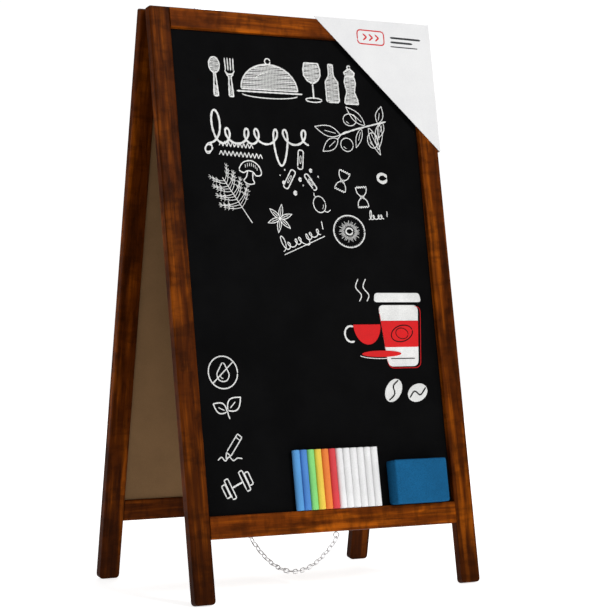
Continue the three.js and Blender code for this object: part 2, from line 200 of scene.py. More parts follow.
class StageSettings(PropertyGroup):
    lens: FloatProperty(
        name="Lens", description="Focal length on a 36 mm wide sensor", default=116.2, min=10,
        max=400, unit="CAMERA",
    )
    turn: FloatProperty(
        name="Camera turn", description="Direction of view, turned from +Y towards +X",
        default=math.radians(30.1), subtype="ANGLE",
    )
    tilt: FloatProperty(
        name="Camera tilt", description="Angle of view above level", default=math.radians(-0.23),
        subtype="ANGLE",
    )


# ---------------------------------------------------------------- surfaces


def stand(x, outward, down):
    """World place in metres of points in the front frame's own upright space: outward from the
    hinge pin and down from it are turned by the lean, then lifted to the pin's height."""
    y = -outward * math.cos(LEAN) - down * math.sin(LEAN)
    z = PIN_HEIGHT + outward * math.sin(LEAN) - down * math.cos(LEAN)
    return np.stack(np.broadcast_arrays(x, y, z), axis=-1) / 1000


def grid_faces(rows, columns, start):
    """Quads between neighbouring rows of a grid whose columns close into a ring."""
    row, column = np.meshgrid(np.arange(rows - 1), np.arange(columns), indexing="ij")
    after = (column + 1) % columns
    quad = np.stack([row * columns + column, row * columns + after,
                     (row + 1) * columns + after, (row + 1) * columns + column], axis=-1)
    return start + quad.reshape(-1, 4)


def make_piece(name, grids, material, body):
    """One object from grids of points; each grid's columns close into a ring and its first and
    last rows are points or equal rings, which are merged, so every surface is closed. Given a list
    of materials, grid after grid takes the next one."""
    several = isinstance(material, list)
    faces, start = [], 0
    for grid in grids:
        faces.append(grid_faces(grid.shape[0], grid.shape[1], start))
        start += grid.shape[0] * grid.shape[1]
    points = np.concatenate([grid.reshape(-1, 3) for grid in grids])
    quads = np.concatenate(faces)
    mesh = bpy.data.meshes.new(name)
    mesh.vertices.add(len(points))
    mesh.vertices.foreach_set("co", points.astype(np.float32).ravel())
    mesh.loops.add(quads.size)
    mesh.loops.foreach_set("vertex_index", quads.astype(np.int32).ravel())
    mesh.polygons.add(len(quads))
    mesh.polygons.foreach_set("loop_start", np.arange(0, quads.size, 4, dtype=np.int32))
    if several:
        numbers = np.repeat(np.arange(len(faces), dtype=np.int32), [len(part) for part in faces])
        mesh.polygons.foreach_set("material_index", numbers)
    for finish in material if several else [material]:
        mesh.materials.append(finish)
    mesh.update(calc_edges=True)
    work = bmesh.new()
    work.from_mesh(mesh)
    bmesh.ops.remove_doubles(work, verts=work.verts, dist=MERGE_DISTANCE_M)
    bmesh.ops.dissolve_degenerate(work, edges=work.edges, dist=MERGE_DISTANCE_M / 20)
    bmesh.ops.recalc_face_normals(work, faces=work.faces)
    work.to_mesh(mesh)
    work.free()
    mesh.polygons.foreach_set("use_smooth", np.ones(len(mesh.polygons), dtype=bool))
    piece = bpy.data.objects.new(name, mesh)
    bpy.context.scene.collection.objects.link(piece)
    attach(piece, body)
    return piece


def resample(path, step):
    """The same path with points at even steps along it."""
    path = np.asarray(path, float)
    along = np.concatenate([[0], np.cumsum(np.hypot(*np.diff(path, axis=0).T))])
    count = max(4, int(round(along[-1] / step)) + 1)
    even = np.linspace(0, along[-1], count)
    return np.stack([np.interp(even, along, path[:, 0]), np.interp(even, along, path[:, 1])], 1)


def curve(points, closed=False, samples=14):
    """A smooth path through a few points: between each two, the cubic whose slope at a point is
    half the step from the point before it to the one after it."""
    knots = np.asarray(points, float)
    if closed:
        knots = np.concatenate([knots[-1:], knots, knots[:2]])
    else:
        knots = np.concatenate([2 * knots[:1] - knots[1:2], knots, 2 * knots[-1:] - knots[-2:-1]])
    before, start, end, after = knots[:-3], knots[1:-2], knots[2:-1], knots[3:]
    t = np.linspace(0, 1, samples, endpoint=False)[:, None, None]
    path = 0.5 * (2 * start + (end - before) * t + (2 * before - 5 * start + 4 * end - after) * t**2
                  + (3 * start - before - 3 * end + after) * t**3)
    path = path.transpose(1, 0, 2).reshape(-1, 2)
    last = path[:1] if closed else end[-1:]
    return np.concatenate([path, last])


def oval(width, height, turn=0.0, first=0.0, last=360.0, samples=60):
    """Points of an ellipse from one angle to another, in degrees, turned as a whole."""
    angle = np.radians(np.linspace(first, last, samples))
    x, y = width / 2 * np.cos(angle), height / 2 * np.sin(angle)
    c, s = math.cos(math.radians(turn)), math.sin(math.radians(turn))
    return np.stack([x * c - y * s, x * s + y * c], axis=1)


def moved(strokes, x, u, turn=0.0, size=1.0):
    """Strokes drawn about their own origin, with y up, put at x, u on the board: scaled, turned
    anticlockwise by degrees and flipped, because u runs downwards."""
    c, s = size * math.cos(math.radians(turn)), size * math.sin(math.radians(turn))
    placed = []
    for path, width in strokes:
        path = np.asarray(path, float)
        px = x + path[:, 0] * c - path[:, 1] * s
        pu = u - path[:, 0] * s - path[:, 1] * c
        placed.append((np.stack([px, pu], axis=1), width))
    return placed


def placed(strokes, x, y, turn):
    """The same strokes turned anticlockwise by degrees and moved, still with y up."""
    return [(path * [1, -1], pen) for path, pen in moved(strokes, x, -y, turn)]


def chalk_line(path, width, height, face, lift=0.0, wobble=0.12):
    """A low ridge carried along a path on the board: its section is a flat-topped arch, its width
    swells and thins a little along the way, and it tapers to nothing at both ends."""
    path = resample(path, max(0.7, width * 0.5))
    count = len(path)
    slope = np.gradient(path, axis=0)
    slope /= np.maximum(np.hypot(*slope.T), 1e-9)[:, None]
    side = np.stack([-slope[:, 1], slope[:, 0]], axis=1)
    place = np.arange(count)
    sway = np.sin(place * 0.9 + path[0, 0]) + 0.6 * np.sin(place * 2.3 + path[0, 1])
    ends = np.sqrt(np.clip(np.minimum(place, count - 1 - place) / 2.0, 0, 1))
    half = width / 2 * ends * (1 + wobble * sway)
    across = np.array([-1.0, -0.8, 0.0, 0.8, 1.0])
    rise = np.array([-0.2, 0.8, 1.0, 0.8, -0.2])
    flat = path[:, None, :] + side[:, None, :] * (half[:, None] * across)[..., None]
    outward = face + lift + height * rise[None, :] * np.maximum(ends, 0.05)[:, None]
    return stand(flat[..., 0], outward, flat[..., 1] - STILE_TOP)


def filled(outline, height, face, lift=0.0):
    """A flat patch inside an outline: rings shrunk towards its middle, level on top and rounded
    down to the board at the rim, closed behind."""
    outline = np.asarray(outline, float)[:-1]
    middle = outline.mean(axis=0)
    shrink = np.array([0.0, 0.5, 0.96, 0.99, 1.0, 0.0])[:, None, None]
    rise = np.array([1.0, 1.0, 1.0, 0.8, -0.2, -0.2])[:, None]
    flat = middle + (outline - middle) * shrink
    outward = face + lift + height * np.broadcast_to(rise, flat.shape[:2])
    return stand(flat[..., 0], outward, flat[..., 1] - STILE_TOP)


def rounded(corners, radius, samples=7):
    """A closed outline through straight-sided corners, each turned as a quadratic arc."""
    corners = np.asarray(corners, float)
    before = np.roll(corners, 1, axis=0) - corners
    after = np.roll(corners, -1, axis=0) - corners
    start = corners + radius * before / np.hypot(*before.T)[:, None]
    end = corners + radius * after / np.hypot(*after.T)[:, None]
    t = np.linspace(0, 1, samples)[None, :, None]
    arcs = start[:, None] * (1 - t) ** 2 + 2 * corners[:, None] * t * (1 - t) + end[:, None] * t**2
    path = arcs.reshape(-1, 2)
    return np.concatenate([path, path[:1]])


# ---------------------------------------------------------------- materials


def new_material(name):
    material = bpy.data.materials.new(name)
    material.use_nodes = True
    nodes = material.node_tree.nodes
    return material, nodes, material.node_tree.links, nodes["Principled BSDF"]


def group_node(nodes, group):
    node = nodes.new("ShaderNodeGroup")
    node.node_tree = group
    return node


def new_group(name, inputs, outputs):
    """An empty shader node group with named inputs, each (name, kind, default), and outputs."""
    group = bpy.data.node_groups.new(name, "ShaderNodeTree")
    for label, kind, default in inputs:
        socket = group.interface.new_socket(label, in_out="INPUT", socket_type=kind)
        if default is not None:
            socket.default_value = default
    for label, kind in outputs:
        group.interface.new_socket(label, in_out="OUTPUT", socket_type=kind)
    return group, group.nodes.new("NodeGroupInput"), group.nodes.new("NodeGroupOutput")


def noise(tree, vector, scale, detail, stretch=(1, 1, 1), shift=(0, 0, 0)):
    """A noise value at a vector scaled by stretch and shifted."""
    mapping = tree.nodes.new("ShaderNodeMapping")
    mapping.inputs["Scale"].default_value = stretch
    mapping.inputs["Location"].default_value = shift
    tree.links.new(vector, mapping.inputs["Vector"])
    texture = tree.nodes.new("ShaderNodeTexNoise")
    texture.inputs["Scale"].default_value = scale
    texture.inputs["Detail"].default_value = detail
    texture.inputs["Roughness"].default_value = 0.6
    tree.links.new(mapping.outputs["Vector"], texture.inputs["Vector"])
    return texture.outputs["Fac"]


def remap(tree, value, low, high, out_low=0.0, out_high=1.0):
    node = tree.nodes.new("ShaderNodeMapRange")
    node.interpolation_type = "SMOOTHSTEP"
    node.inputs["From Min"].default_value = low
    node.inputs["From Max"].default_value = high
    node.inputs["To Min"].default_value = out_low
    node.inputs["To Max"].default_value = out_high
    tree.links.new(value, node.inputs["Value"])
    return node.outputs["Result"]


def blend_colours(tree, factor, first, second):
    """Mixes two colours; each of them is an output socket or a constant colour."""
    node = tree.nodes.new("ShaderNodeMix")
    node.data_type = "RGBA"
    tree.links.new(factor, node.inputs["Factor"])
    for label, colour in (("A", first), ("B", second)):
        socket = next(s for s in node.inputs if s.name == label and s.type == "RGBA")
        if isinstance(colour, bpy.types.NodeSocket):
            tree.links.new(colour, socket)
        else:
            socket.default_value = (*colour[:3], 1)
    return next(s for s in node.outputs if s.type == "RGBA")


def arithmetic(tree, operation, first, second):
    node = tree.nodes.new("ShaderNodeMath")
    node.operation = operation
    for socket, value in zip(node.inputs, (first, second)):
        if isinstance(value, bpy.types.NodeSocket):
            tree.links.new(value, socket)
        else:
            socket.default_value = value
    return node.outputs["Value"]


def scaled(tree, value, share):
    return arithmetic(tree, "MULTIPLY", value, share)


def mixed(tree, first, share, second):
    """A share of the first value plus the rest of the second."""
    return arithmetic(tree, "ADD", scaled(tree, first, share), scaled(tree, second, 1 - share))


def grain_group(settings):
    """Stained pine. Streaks long along Z and narrow across it pick between dark, middle and light.
    Warped bands draw the growth rings, short fine streaks the open fibres, and a blotchy noise
    makes the stain lie deeper in some places than in others. A faint figure runs across the grain,
    and painted shade darkens the feet near the ground, in the object's own place."""
    group, entry, leave = new_group(
        "Stained grain and foot shade",
        [("Vector", "NodeSocketVector", None), ("Place", "NodeSocketVector", None),
         ("Light", "NodeSocketColor", (*settings.light, 1)),
         ("Middle", "NodeSocketColor", (*settings.middle, 1)),
         ("Dark", "NodeSocketColor", (*settings.dark, 1))],
        [("Color", "NodeSocketColor"), ("Roughness", "NodeSocketFloat"),
         ("Height", "NodeSocketFloat")],
    )
    rings_per_m, ring_warp = 260.0, 34.0
    foot_top_m, foot_shade = 0.13, 0.6
    dark = entry.outputs["Dark"]
    vector = entry.outputs["Vector"]
    wide, long = 1 / settings.streak_width, 1 / settings.streak_length
    streak = noise(group, vector, 1.0, 5, (wide, wide, long))
    broad = noise(group, vector, 1.0, 2, (wide / 4, wide / 4, long * 2.5), (3, 1, 7))
    fibre = noise(group, vector, 1.0, 3, (1500, 1500, 22), (1, 5, 2))
    stain = noise(group, vector, 1.0, 4, (42, 42, 17), (9, 4, 1))
    figure = noise(group, vector, 1.0, 3, (30, 30, 75), (4, 7, 3))
    warp = noise(group, vector, 1.0, 3, (14, 14, 3.2), (2, 8, 5))
    across = group.nodes.new("ShaderNodeSeparateXYZ")
    group.links.new(vector, across.inputs["Vector"])
    ring_place = arithmetic(group, "ADD", scaled(group, across.outputs["X"], rings_per_m),
                            scaled(group, warp, ring_warp))
    ring = remap(group, arithmetic(group, "SINE", ring_place, 0.0), 0.1, 1.0)
    pale = remap(group, mixed(group, streak, 0.62, broad), 0.47, 0.66)
    deep = remap(group, mixed(group, stain, 0.6, streak), 0.52, 0.34)
    cross = remap(group, figure, 0.55, 0.35)
    pore = remap(group, fibre, 0.5, 0.3)
    colour = blend_colours(group, pale, entry.outputs["Middle"], entry.outputs["Light"])
    for mask, share in ((cross, 0.4), (deep, 0.75), (ring, 0.34), (pore, 0.45)):
        colour = blend_colours(group, scaled(group, mask, share), colour, dark)
    level = group.nodes.new("ShaderNodeSeparateXYZ")
    group.links.new(entry.outputs["Place"], level.inputs["Vector"])
    # Painted shade: the wood turns darker towards the ground at the feet.
    foot = remap(group, level.outputs["Z"], foot_top_m, 0.0, 0.0, foot_shade)
    group.links.new(blend_colours(group, foot, colour, dark), leave.inputs["Color"])
    group.links.new(remap(group, fibre, 0.3, 0.7, 0.52, 0.36), leave.inputs["Roughness"])
    height = arithmetic(group, "SUBTRACT", fibre, scaled(group, ring, 0.25))
    group.links.new(height, leave.inputs["Height"])
    return group


def mottle_group():
    """Uneven colour: a broad and a fine noise, each of three octaves or more, mix two colours.
    Both noises come out as well, for roughness and relief."""
    group, entry, leave = new_group(
        "Mottle",
        [("Vector", "NodeSocketVector", None), ("First", "NodeSocketColor", (0, 0, 0, 1)),
         ("Second", "NodeSocketColor", (1, 1, 1, 1))],
        [("Color", "NodeSocketColor"), ("Fine", "NodeSocketFloat"),
         ("Broad", "NodeSocketFloat")],
    )
    broad = noise(group, entry.outputs["Vector"], 14.0, 4)
    fine = noise(group, entry.outputs["Vector"], 900.0, 3, shift=(2, 1, 4))
    mask = remap(group, mixed(group, broad, 0.55, fine), 0.36, 0.64)
    colour = blend_colours(group, mask, entry.outputs["First"], entry.outputs["Second"])
    group.links.new(colour, leave.inputs["Color"])
    group.links.new(fine, leave.inputs["Fine"])
    group.links.new(broad, leave.inputs["Broad"])
    return group


def add_bump(tree, height, shader, distance, strength):
    bump = tree.nodes.new("ShaderNodeBump")
    bump.inputs["Distance"].default_value = distance
    bump.inputs["Strength"].default_value = strength
    tree.links.new(height, bump.inputs["Height"])
    tree.links.new(bump.outputs["Normal"], shader.inputs["Normal"])


def object_place(nodes):
    return nodes.new("ShaderNodeTexCoord").outputs["Object"]


def wood_material(name, group, turn, shift, tones, depth):
    """Stained wood whose grain runs along Z once the object's coordinates are turned and shifted;
    depth scales the three tones for this one length of wood, as uneven stain and as painted light
    and shade."""
    material, nodes, links, shader = new_material(name)
    mapping = nodes.new("ShaderNodeMapping")
    mapping.inputs["Rotation"].default_value = turn
    mapping.inputs["Location"].default_value = shift
    links.new(object_place(nodes), mapping.inputs["Vector"])
    grain = group_node(nodes, group)
    for label, tone in zip(("Light", "Middle", "Dark"), tones):
        grain.inputs[label].default_value = (*(depth * part for part in tone), 1)
    links.new(mapping.outputs["Vector"], grain.inputs["Vector"])
    links.new(object_place(nodes), grain.inputs["Place"])
    links.new(grain.outputs["Color"], shader.inputs["Base Color"])
    links.new(grain.outputs["Roughness"], shader.inputs["Roughness"])
    shader.inputs["Specular IOR Level"].default_value = 0.025
    add_bump(material.node_tree, grain.outputs["Height"], shader, 0.0002, 0.5)
    return material


def mottled_material(name, group, first, second, roughness, metal=0.0, specular=0.3,
                     depth_m=0.0001, strength=0.3):
    """A finish of two close colours whose roughness and relief follow the same fine noise."""
    material, nodes, links, shader = new_material(name)
    mottle = group_node(nodes, group)
    mottle.inputs["First"].default_value = (*first, 1)
    mottle.inputs["Second"].default_value = (*second, 1)
    links.new(object_place(nodes), mottle.inputs["Vector"])
    links.new(mottle.outputs["Color"], shader.inputs["Base Color"])
    spread = 0.06
    uneven = remap(material.node_tree, mottle.outputs["Broad"], 0.3, 0.7,
                   roughness - spread, roughness + spread)
    links.new(uneven, shader.inputs["Roughness"])
    shader.inputs["Metallic"].default_value = metal
    shader.inputs["Specular IOR Level"].default_value = specular
    add_bump(material.node_tree, mottle.outputs["Fine"], shader, depth_m, strength)
    return material


def panel_material(name, group, settings, facing):
    """Chalk paint on the outer face and bare hardboard behind it: the side of the panel's middle
    plane that a point lies on, found from its distance along the outward direction, picks one."""
    material, nodes, links, shader = new_material(name)
    tree = material.node_tree
    place = object_place(nodes)
    paint, bare = group_node(nodes, group), group_node(nodes, group)
    dust = tuple(1.5 * part + 0.0006 for part in settings.paint)
    for node, first, second in (
        (paint, tuple(settings.paint), dust),
        (bare, tuple(0.8 * part for part in settings.hardboard), tuple(settings.hardboard)),
    ):
        node.inputs["First"].default_value = (*first, 1)
        node.inputs["Second"].default_value = (*second, 1)
        links.new(place, node.inputs["Vector"])
    outward = nodes.new("ShaderNodeVectorMath")
    outward.operation = "DOT_PRODUCT"
    outward.inputs[1].default_value = (0, facing * math.cos(LEAN), math.sin(LEAN))
    links.new(place, outward.inputs[0])
    middle = (PIN_HEIGHT * math.sin(LEAN) + PANEL_MIDDLE) / 1000
    outside = arithmetic(tree, "GREATER_THAN", outward.outputs["Value"], middle)
    colour = blend_colours(tree, outside, bare.outputs["Color"], paint.outputs["Color"])
    links.new(colour, shader.inputs["Base Color"])
    links.new(remap(tree, outside, 0, 1, 0.85, 0.7), shader.inputs["Roughness"])
    shader.inputs["Specular IOR Level"].default_value = 0.02
    add_bump(tree, paint.outputs["Fine"], shader, 0.00008, 0.35)
    return material


def foam_material(settings):
    """Foam: round pores from the distance to scattered points, with painted shade at their bottoms.
    """
    material, nodes, links, shader = new_material("Blue foam")
    tree = material.node_tree
    place = object_place(nodes)
    pores = nodes.new("ShaderNodeTexVoronoi")
    pores.inputs["Scale"].default_value = 1 / settings.pore_size
    links.new(place, pores.inputs["Vector"])
    wall = remap(tree, pores.outputs["Distance"], 0.1, 0.5)
    mottle = group_node(nodes, shared_mottle())
    mottle.inputs["First"].default_value = (*(0.8 * part for part in settings.foam), 1)
    mottle.inputs["Second"].default_value = (*settings.foam, 1)
    links.new(place, mottle.inputs["Vector"])
    # Painted shade: the bottoms of the pores take a darker copy of the foam colour.
    shade = tuple(0.55 * part for part in settings.foam)
    colour = blend_colours(tree, wall, shade, mottle.outputs["Color"])
    links.new(colour, shader.inputs["Base Color"])
    links.new(remap(tree, wall, 0, 1, 0.98, 0.85), shader.inputs["Roughness"])
    shader.inputs["Specular IOR Level"].default_value = 0.1
    add_bump(tree, wall, shader, 0.0004, 0.6)
    return material


def nodes_named(*words):
    """CAD nodes whose names hold every one of the words, in order of name."""
    return [frame["nodes"][n] for n in sorted(frame["nodes"]) if all(w in n for w in words)]


def finish_nodes(material, nodes):
    if not nodes:
        raise RuntimeError(f"no CAD node takes the finish {material.name}")
    for node in nodes:
        node.data.materials.clear()
        node.data.materials.append(material)


def shared_mottle():
    return bpy.data.node_groups.get("Mottle") or mottle_group()


def shared_material(name, **values):
    """The mottled material of that name, made the first time it is asked for."""
    return bpy.data.materials.get(name) or mottled_material(name, shared_mottle(), **values)


def chalk_white():
    colour = bpy.context.scene.chalk_settings.colour
    return shared_material("White chalk", first=tuple(0.72 * part for part in colour),
                           second=tuple(colour), roughness=0.9, specular=0.1, strength=0.6)


# ---------------------------------------------------------------- drawings


def pen_loops(length, count, height, tall=(), drop=()):
    """One pen line of joined loops: a forward step plus a circle, whose size grows near the places
    in tall and hangs lower near those in drop."""
    t = np.linspace(0, 1, 60 * count)
    grow = 1 + sum(1.3 * np.exp(-(((t - place) / 0.05) ** 2)) for place in tall)
    fall = sum(1.5 * np.exp(-(((t - place) / 0.045) ** 2)) for place in drop)
    turn = 2 * np.pi * count * t
    step = length / count
    x = length * (t - 0.5) + 0.36 * step * np.sin(turn) * grow**0.5 + 0.18 * step * np.sin(turn / 2)
    y = height / 2 * (grow - 1 - np.cos(turn) * grow - fall * (1 + np.cos(turn)))
    return np.stack([x, y], axis=1)


def hatched_vessel(heights, radii, spacing=1.75, edge=2.3, tone=1.15):
    """A shape the same on both sides of its middle, outlined and filled with short level strokes;
    its half-width runs straight between the given heights."""
    level = np.linspace(heights[0], heights[-1], 60)
    half = np.interp(level, heights, radii)
    ring = np.concatenate([np.stack([-half, level], 1), np.stack([half, level], 1)[::-1]])
    strokes = [(np.concatenate([ring, ring[:1]]), edge)]
    for number, at in enumerate(np.arange(heights[0] + 2, heights[-1] - 1, spacing)):
        reach = float(np.interp(at, heights, radii)) - 0.8
        if reach > 1.6:
            tilt = 0.5 * math.sin(number * 1.7)
            strokes.append(([[-reach, at - tilt], [reach, at + tilt]], tone))
    return strokes


def cloche():
    """A serving dome: a half ellipse over a plate rim, with a knob."""
    angle = np.linspace(0, np.pi / 2, 9)
    dome = hatched_vessel(list(-14 + 34 * np.sin(angle)), list(42 * np.cos(angle) + 0.01))
    plate = [([[-49, -17.5], [49, -17.5]], 2.4),
             (oval(84, 11, first=190, last=350) + [0, -20], 1.6)]
    knob = [(oval(8, 8) + [0, 24], 2.0), (oval(56, 40, first=100, last=150) + [4, -10], 1.2)]
    return dome + plate + knob


def wine_glass():
    bowl = hatched_vessel([-2, 2, 9, 18, 27], [0.5, 8, 13, 13.5, 11])
    return bowl + [([[0, -2], [0, -24]], 2.6), (oval(26, 6) + [0, -25.5], 1.8)]


def bottle():
    return hatched_vessel([-27, -25, 2, 9, 13, 27], [8, 10, 10, 5, 3.6, 3.6])


def pepper_mill():
    body = hatched_vessel([-27, -20, -10, 4, 12], [11, 10, 6, 9, 7])
    return body + hatched_vessel([13.5, 18, 23], [7, 8.5, 2]) + [(oval(5, 5) + [0, 25.5], 2.0)]


def fork():
    handle = hatched_vessel([-27, -20, 0, 4], [3.2, 3, 1.6, 5])
    tines = [([[x, 27], [x * 0.9, 9]], 2.0) for x in (-6.5, -2.2, 2.2, 6.5)]
    return handle + tines + [(oval(14, 13, first=180, last=360) + [0, 10], 2.2)]


def spoon():
    angle = np.linspace(-90, 90, 9)
    heights, radii = 16 + 11 * np.sin(np.radians(angle)), 8 * np.cos(np.radians(angle)) + 0.01
    bowl = hatched_vessel(list(heights), list(radii))
    return bowl + hatched_vessel([-27, -20, 0, 5], [3.2, 3, 1.4, 1.2])


def leaf(length, width, rib=0.62, pen=1.3):
    """A leaf from the origin along +X: two bows meeting at a tip, with a rib part of the way."""
    t = np.linspace(0, 1, 24)
    bow = width / 2 * np.sin(np.pi * t**0.85)
    x = length * t
    top, under = np.stack([x, bow], 1), np.stack([x, -bow], 1)[::-1]
    middle = [[length * 0.16, 0], [length * rib, width * 0.05]]
    return [(np.concatenate([top, under]), pen), (middle, pen * 0.8)]


def olive_branch():
    """A stem with leaves set along it and three round fruits with a highlight each."""
    strokes = [(curve([[58, 22], [30, 15], [4, 8], [-22, -1]]), 2.4),
               (curve([[-2, 6], [-14, 3], [-26, -8]]), 1.4)]
    for x, y, length, width, turn in (
        (-20, 0, 41, 15, 166), (-24, -6, 32, 15, 216), (22, 15, 38, 13, 138), (44, 19, 26, 12, 72),
        (16, 10, 30, 9, 248), (28, 12, 42, 11, 292), (46, 18, 38, 12, 262), (52, 20, 24, 10, 248),
    ):
        strokes += placed(leaf(length, width), x, y, turn)
    for x, y, wide, tall in ((-2, 22, 21, 17), (-10, -14, 20, 19), (33, -6, 17, 22)):
        highlight = oval(wide * 0.6, tall * 0.6, first=200, last=260)
        strokes += [(oval(wide, tall) + [x, y], 1.4), (highlight + [x, y], 1.0)]
    return strokes


def mushroom():
    """A rounded cap over a stem that widens downwards, with short shading lines on the cap."""
    cap = curve([[-17, 0], [-12, 11], [0, 16], [12, 11], [17, 1], [10, -3], [4, 1], [-4, 1],
                 [-10, -3]], closed=True)
    stem = curve([[-4, 1], [-5, -8], [-8, -14], [0, -17], [8, -14], [5, -8], [4, 1]])
    shade = [([[x, 13.5 - 0.05 * x * x], [x + 1.2, 8 - 0.05 * x * x]], 0.9)
             for x in range(-9, 10, 3)]
    return [(cap, 1.8), (stem, 1.8)] + shade


def sprig(length=78, reach=26, twigs=11):
    """A feathery herb: a straight stem, twigs on both sides of it that shorten towards its tip,
    and three needles at the end and middle of each."""
    strokes = [([[0, -length * 0.45], [0, length * 0.5]], 1.4)]
    for number in range(twigs):
        at = -length * 0.12 + number * length * 0.6 / twigs
        span = reach * (1 - 0.5 * number / twigs) * (1.0 if number % 3 else 0.8)
        for side in (-1, 1):
            rise = 12 + 3 * math.sin(number * 2.1)
            tip = np.array([side * span, at + rise])
            strokes.append((curve([[0, at], [side * span * 0.5, at + rise * 0.35], tip]), 0.95))
            for part in (0.55, 0.8, 1.0):
                foot = np.array([side * span * part, at + rise * part**1.4])
                for lean in (-0.7, 0.1, 0.9):
                    angle = 0.9 + lean
                    needle = 5.2 * np.array([side * math.sin(angle) * 0.8, math.cos(angle)])
                    strokes.append(([foot, foot + needle], 0.75))
    return strokes


def block(width, height, x=0.0, y=0.0):
    """The four corners of an upright rectangle about a middle point."""
    return np.array([[-1, -1], [1, -1], [1, 1], [-1, 1]]) * [width / 2, height / 2] + [x, y]


def pasta_tube(length=27, width=8):
    return [(rounded(block(width, length), 3.4), 2.0), (oval(2.6, length * 0.42), 1.0)]


def star_spice(arms=6, reach=20):
    strokes = []
    for number in range(arms):
        strokes += placed(leaf(reach, 6.0, rib=0.7), 0, 0, 18 + number * 360 / arms)
    return strokes + [(oval(3, 3), 1.6)]


def berry():
    """A round fruit with a stalk and a leaf."""
    return [(oval(19, 23), 1.5), (curve([[-2, 11], [-4, 14], [-3, 18]]), 1.5),
            (oval(12, 15, first=290, last=350), 1.0), (curve([[4, -10], [9, -13], [15, -11]]), 1.5)]


def bow_pasta():
    """A pinched bow: two fans with wavy ends meeting at folds in the middle."""
    zig = np.linspace(-1, 1, 25)
    top = np.stack([9 * zig, 14 + 1.2 * np.sin(zig * 16)], 1)
    side = curve([[9, 14], [7, 6], [2.2, 0], [7, -6], [9, -14]])
    folds = [([[-2, 3], [2, -3]], 1.0), ([[2, 3], [-2, -3]], 1.0)]
    return [(top, 1.4), (-top, 1.4), (side * [-1, 1], 1.5), (side, 1.5)] + folds


def citrus():
    """A cut fruit: rind, core and many fine spokes of two lengths between them."""
    strokes = [(oval(50, 45), 1.9), (oval(11, 9), 2.4)]
    for number in range(44):
        angle = 2 * math.pi * number / 44
        ray = np.array([math.cos(angle), math.sin(angle) * 0.9])
        inner = 7.5 + 1.2 * (number % 2)
        outer = 15.5 + 2.5 * math.sin(number * 2.4)
        strokes.append(([ray * inner, ray * outer], 0.8))
        strokes.append(([ray * 22.5, ray * 24.5], 0.8))
    return strokes


def chalk_dots(places):
    return [(oval(size, size) + [x, y], size * 0.9) for x, y, size in places]


def zigzag(length, teeth, height):
    """A pointed wave; every second tooth is a little lower than the one before."""
    corner = np.arange(2 * teeth + 1)
    x = np.linspace(-length / 2, length / 2, len(corner))
    y = np.where(corner % 2, height / 2, -height / 2) * (1 - 0.2 * (corner % 4 == 1))
    return np.stack([x, y], axis=1)


def barred_drop():
    """A drop in a ring with a bar across it."""
    drop = curve([[0, 13], [6, 4], [9, -3], [6, -10], [0, -12], [-6, -10], [-9, -3], [-6, 4]],
                 closed=True)
    highlight = oval(9, 12, first=200, last=280) + [0, -2]
    bar = [[-15, -15], [15, 15]]
    return [(oval(43, 43), 1.9), (drop, 1.8), (bar, 1.8), (highlight, 1.3)]


def sprout():
    pair = placed(leaf(26, 17, pen=1.9), 1, -2, 40) + placed(leaf(22, 14, pen=1.9), -1, -4, 150)
    return pair + [(curve([[3, -14], [1, -8], [0, -2]]), 1.9)]


def pencil():
    """A pencil slanting down to a written wave."""
    shaft = rounded(block(8, 30, 0, 3), 1.5)
    strokes = [(shaft, 1.8), ([[-4, -12], [0, -19], [4, -12]], 1.8), ([[-4, 13], [4, 13]], 1.6)]
    wave = curve([[-20, -17], [-14, -13], [-9, -18], [-3, -13], [3, -18], [9, -15], [17, -16]])
    return placed(strokes, 4, 0, -38) + [(wave, 1.8)]


def dumbbell():
    strokes = [([[-9, 0], [9, 0]], 2.6)]
    for side in (-1, 1):
        for at, tall in ((12, 28), (19, 18)):
            strokes.append((rounded(block(6, tall, side * at), 2), 1.9))
    return placed(strokes, 0, 0, 24)


def draw(name, strokes, material, face=PANEL_FACE, lift=0.0, wobble=0.12, body="front_frame"):
    """One piece from strokes already placed on the board, each a path and a pen width."""
    height = 1000 * bpy.context.scene.chalk_settings.thickness
    grids = [chalk_line(path, width, height, face, lift, wobble) for path, width in strokes]
    return make_piece(name, grids, material, body)


# ---------------------------------------------------------------- operators


class BOARD_OT_wood(Operator):
    """Stain the stiles and rails, each with its own run of grain along its length"""

    bl_idname = "board.wood"
    bl_label = "Stain the frames"

    def execute(self, context):
        settings = context.scene.wood_settings
        group = grain_group(settings)
        tones = (settings.light, settings.middle, settings.dark)
        for number, node in enumerate(nodes_named("stile") + nodes_named("rail")):
            facing = -1 if node.name.startswith("front") else 1
            along_x = "rail" in node.name
            turn = (0, math.radians(90), 0) if along_x else (-facing * LEAN, 0, 0)
            shift = (0.137 * number + 0.05, 0.091 * number, 0.613 * number)
            # Depth of tone: partly uneven stain, partly painted light and shade on this length.
            depth = STAIN_AND_SHADE_DEPTH.get(node.name, STAIN_AND_SHADE_DEPTH["rear"])
            wood = wood_material(f"Stained and shaded wood {node.name}", group, turn, shift, tones, depth)
            finish_nodes(wood, [node])
        return {"FINISHED"}


class BOARD_OT_panels(Operator):
    """Paint the outer faces of the panels and leave the hardboard bare inside"""

    bl_idname = "board.panels"
    bl_label = "Paint the panels"

    def execute(self, context):
        for word, facing in (("front", -1), ("rear", 1)):
            paint = panel_material(f"Chalk paint {word}", shared_mottle(),
                                   context.scene.panel_settings, facing)
            finish_nodes(paint, nodes_named(f"{word}_chalkboard_panel"))
        return {"FINISHED"}


